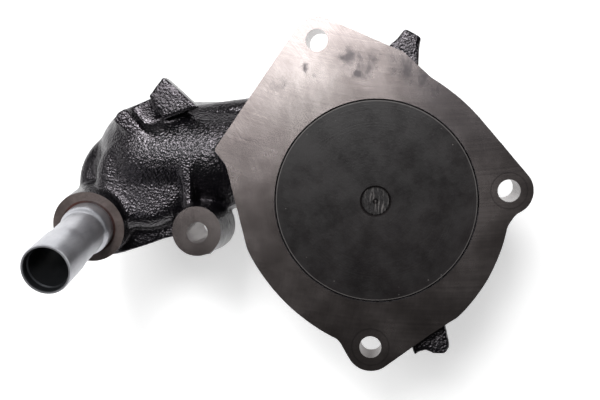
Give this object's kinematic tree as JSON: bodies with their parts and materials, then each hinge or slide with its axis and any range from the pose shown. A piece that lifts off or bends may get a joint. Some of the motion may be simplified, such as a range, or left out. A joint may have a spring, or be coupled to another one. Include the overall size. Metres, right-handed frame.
{
  "type": "engine water pump",
  "caption": "Belt-driven engine coolant pump: cast-iron body with a flat mounting face, flush impeller, side elbow with hose spigot, plated bypass tube and pulley hub.",
  "frame": {"origin": "centre of the machined mounting face, on the shaft axis", "axes": "+Z out of the mounting face towards the engine, along the shaft; +Y up on the engine; the elbow is on the -X side and the pulley hub faces -Z"},
  "size_m": [0.2451, 0.1771, 0.1786],
  "materials": {
    "housing": "black paint over sand-cast iron, machined faces bare",
    "plated_tube": "zinc plated",
    "sealant": "cured retaining compound",
    "brass": "pressed",
    "rubber": "matt",
    "spring_steel": "bright",
    "bearing_steel": "ground",
    "impeller": "dark, fine turned",
    "hub": "machined and oiled",
    "ceramic": "lapped",
    "cage": "moulded nylon",
    "carbon": "lapped carbon"
  },
  "bodies": {
    "root": {"pump_housing": "housing", "bypass_tube": "plated_tube", "tube_sealant": "sealant", "seal_cup": "brass", "seal_bellows": "rubber", "seal_spring": "spring_steel", "bearing_outer_ring": "bearing_steel", "rear_bearing_seal": "rubber", "front_bearing_seal": "rubber", "bearing_circlip": "spring_steel"},
    "rotor": {"shaft": "bearing_steel", "impeller": "impeller", "pulley_hub": "hub", "slinger": "spring_steel", "seat_rubber_cup": "rubber", "ceramic_seat": "ceramic"},
    "ball_set": {"bearing_balls": "bearing_steel", "ball_cage": "cage"},
    "roller_set": {"bearing_rollers": "bearing_steel", "roller_cage": "cage"},
    "seal_face": {"carbon_ring": "carbon", "carbon_ferrule": "brass"}
  },
  "joints": [
    {"name": "shaft_spin", "type": "hinge", "parent": "root", "child": "rotor", "pos_m": [0, 0, 0], "axis": [0, 0, 1], "continuous": true},
    {"name": "ball_orbit", "type": "hinge", "parent": "root", "child": "ball_set", "pos_m": [0, 0, 0], "axis": [0, 0, 1], "continuous": true},
    {"name": "roller_orbit", "type": "hinge", "parent": "root", "child": "roller_set", "pos_m": [0, 0, 0], "axis": [0, 0, 1], "continuous": true},
    {"name": "seal_face_float", "type": "slide", "parent": "root", "child": "seal_face", "axis": [0, 0, -1], "range_m": [0, 0.001], "stiffness_N_per_m": 5000, "springref_m": -0.003, "deforming": ["seal_bellows", "seal_spring"]}
  ],
  "couplings": [
    {"joint": "ball_orbit", "follows": "shaft_spin", "ratio": 0.3738},
    {"joint": "roller_orbit", "follows": "shaft_spin", "ratio": 0.4171}
  ]
}
